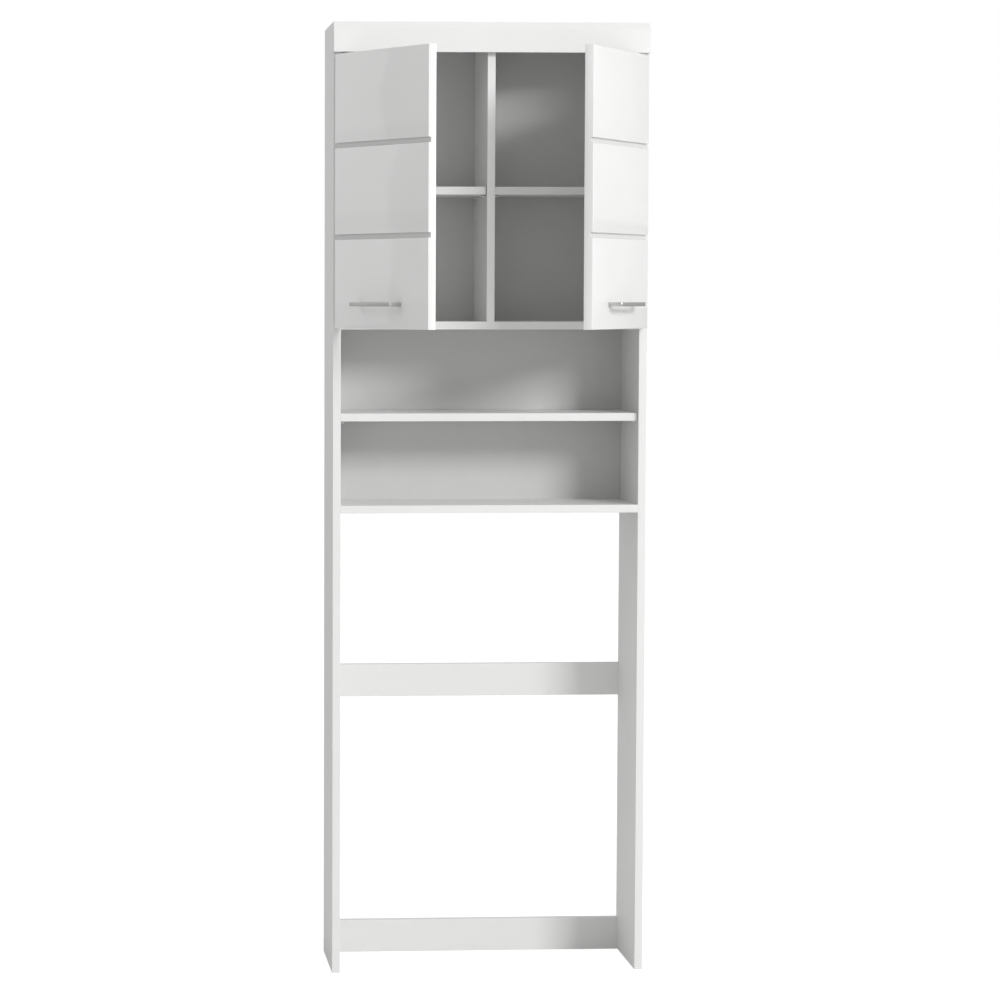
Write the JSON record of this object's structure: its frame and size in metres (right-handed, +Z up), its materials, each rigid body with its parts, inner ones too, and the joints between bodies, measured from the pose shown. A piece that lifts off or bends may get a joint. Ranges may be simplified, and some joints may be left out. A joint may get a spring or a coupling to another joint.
{
  "type": "over the toilet storage cabinet",
  "caption": "Tall white storage cabinet that stands over a toilet: hinged double-door cupboard on top, open shelves below it, rear cross rails and a free bay between full-height side panels.",
  "frame": {"origin": "on the floor, on the centre plane, in the plane of the wall behind the cabinet", "axes": "+X to the right seen from the front, -Y out of the wall towards the user, +Z up"},
  "size_m": [0.64, 0.5088, 1.934],
  "materials": {
    "melamine": "white melamine on particle board, satin",
    "door_gloss": "white gloss foil on fibreboard",
    "back_board": "white lacquered hardboard",
    "beech": "fluted beech",
    "satin_metal": "satin nickel",
    "nickel": "nickel-plated steel",
    "zinc": "bright zinc-plated steel",
    "cast_zinc": "die-cast zinc",
    "clear_bumper": "clear soft bumper"
  },
  "bodies": {
    "root": {"side_panel_left": "melamine", "cupboard_shelf_left": "melamine", "hinge_arms_left": "nickel", "hinge_pins_left": "zinc", "hinge_plates_left": "nickel", "plate_screws_left": "zinc", "adjuster_screws_left": "zinc", "wall_bracket_left": "zinc", "side_panel_right": "melamine", "cupboard_shelf_right": "melamine", "hinge_arms_right": "nickel", "hinge_pins_right": "zinc", "hinge_plates_right": "nickel", "plate_screws_right": "zinc", "adjuster_screws_right": "zinc", "wall_bracket_right": "zinc", "top_board": "melamine", "cupboard_floor": "melamine", "bottom_shelf": "melamine", "open_shelf": "melamine", "divider": "melamine", "lower_rail": "melamine", "upper_rail": "melamine", "crown_fascia": "door_gloss", "back_panel": "back_board", "cam_locks": "cast_zinc", "cam_bolts": "zinc", "divider_screws": "zinc", "bracket_screws": "zinc", "shelf_pins": "nickel", "wood_dowels": "beech"},
    "door_leaf_left": {"door_left": "door_gloss", "handle_left": "satin_metal", "handle_screws_left": "zinc", "door_bumpers_left": "clear_bumper", "hinge_cups_left": "nickel", "cup_screws_left": "zinc"},
    "hinge_linkage_left": {"hinge_links_left": "nickel"},
    "door_leaf_right": {"door_right": "door_gloss", "handle_right": "satin_metal", "handle_screws_right": "zinc", "door_bumpers_right": "clear_bumper", "hinge_cups_right": "nickel", "cup_screws_right": "zinc"},
    "hinge_linkage_right": {"hinge_links_right": "nickel"}
  },
  "joints": [
    {"name": "door_hinge_left", "type": "hinge", "parent": "root", "child": "door_leaf_left", "pos_m": [-0.314, -0.238, 1.593], "axis": [0, 0, -1], "range_deg": [-60, 35]},
    {"name": "link_pivot_left", "type": "hinge", "parent": "root", "child": "hinge_linkage_left", "pos_m": [-0.284, -0.23045, 1.593], "axis": [0, 0, -1], "range_deg": [-18.8, 31.9]},
    {"name": "door_hinge_right", "type": "hinge", "parent": "root", "child": "door_leaf_right", "pos_m": [0.314, -0.238, 1.593], "axis": [0, 0, 1], "range_deg": [-60, 35]},
    {"name": "link_pivot_right", "type": "hinge", "parent": "root", "child": "hinge_linkage_right", "pos_m": [0.284, -0.23045, 1.593], "axis": [0, 0, 1], "range_deg": [-18.8, 31.9]}
  ],
  "couplings": [
    {"joint": "link_pivot_left", "follows": "door_hinge_left", "ratio": -0.524},
    {"joint": "link_pivot_right", "follows": "door_hinge_right", "ratio": -0.524}
  ]
}
